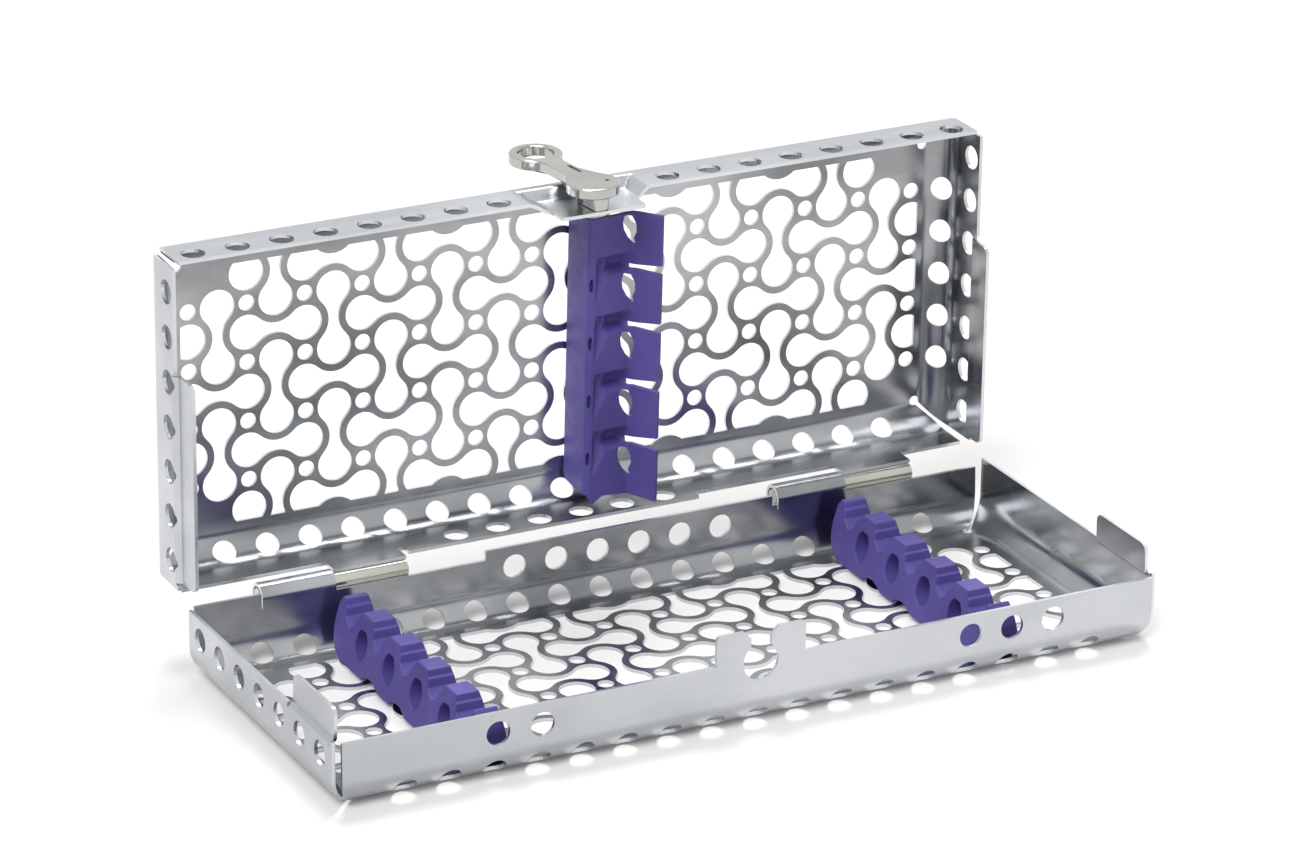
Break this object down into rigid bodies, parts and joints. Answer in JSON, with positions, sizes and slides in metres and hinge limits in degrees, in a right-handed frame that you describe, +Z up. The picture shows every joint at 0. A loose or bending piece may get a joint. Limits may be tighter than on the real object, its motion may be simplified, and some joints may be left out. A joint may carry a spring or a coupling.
{
  "type": "dental instrument cassette",
  "caption": "Hinged perforated steel cassette for sterilising instruments, with silicone rails that hold them and a quarter-turn latch that locks the lid.",
  "frame": {"origin": "centre of the base tray's underside, on the surface it stands on", "axes": "+X along the length, +Y from the latch side to the hinge side, +Z up out of the base tray"},
  "size_m": [0.2018, 0.1107, 0.0986],
  "materials": {
    "tray_steel": "satin",
    "rod_steel": "polished",
    "silicone": "matte",
    "latch_steel": "polished"
  },
  "bodies": {
    "base": {"base_tray": "tray_steel", "rail_left": "silicone", "rail_right": "silicone"},
    "lid": {"lid_tray": "tray_steel", "hinge_rod_left": "rod_steel", "hinge_rod_right": "rod_steel", "lid_rail": "silicone", "latch_washer": "latch_steel"},
    "latch": {"latch_lever": "latch_steel", "latch_hub": "latch_steel", "latch_rivet": "latch_steel"}
  },
  "joints": [
    {"name": "lid_hinge", "type": "hinge", "parent": "base", "child": "lid", "pos_m": [0, 0.0415, 0.0144], "axis": [1, 0, 0], "range_deg": [0, 90]},
    {"name": "latch_turn", "type": "hinge", "parent": "lid", "child": "latch", "pos_m": [0, 0.0425, 0.0952], "axis": [0, 0, 1], "range_deg": [-7.5, 82.5]}
  ]
}
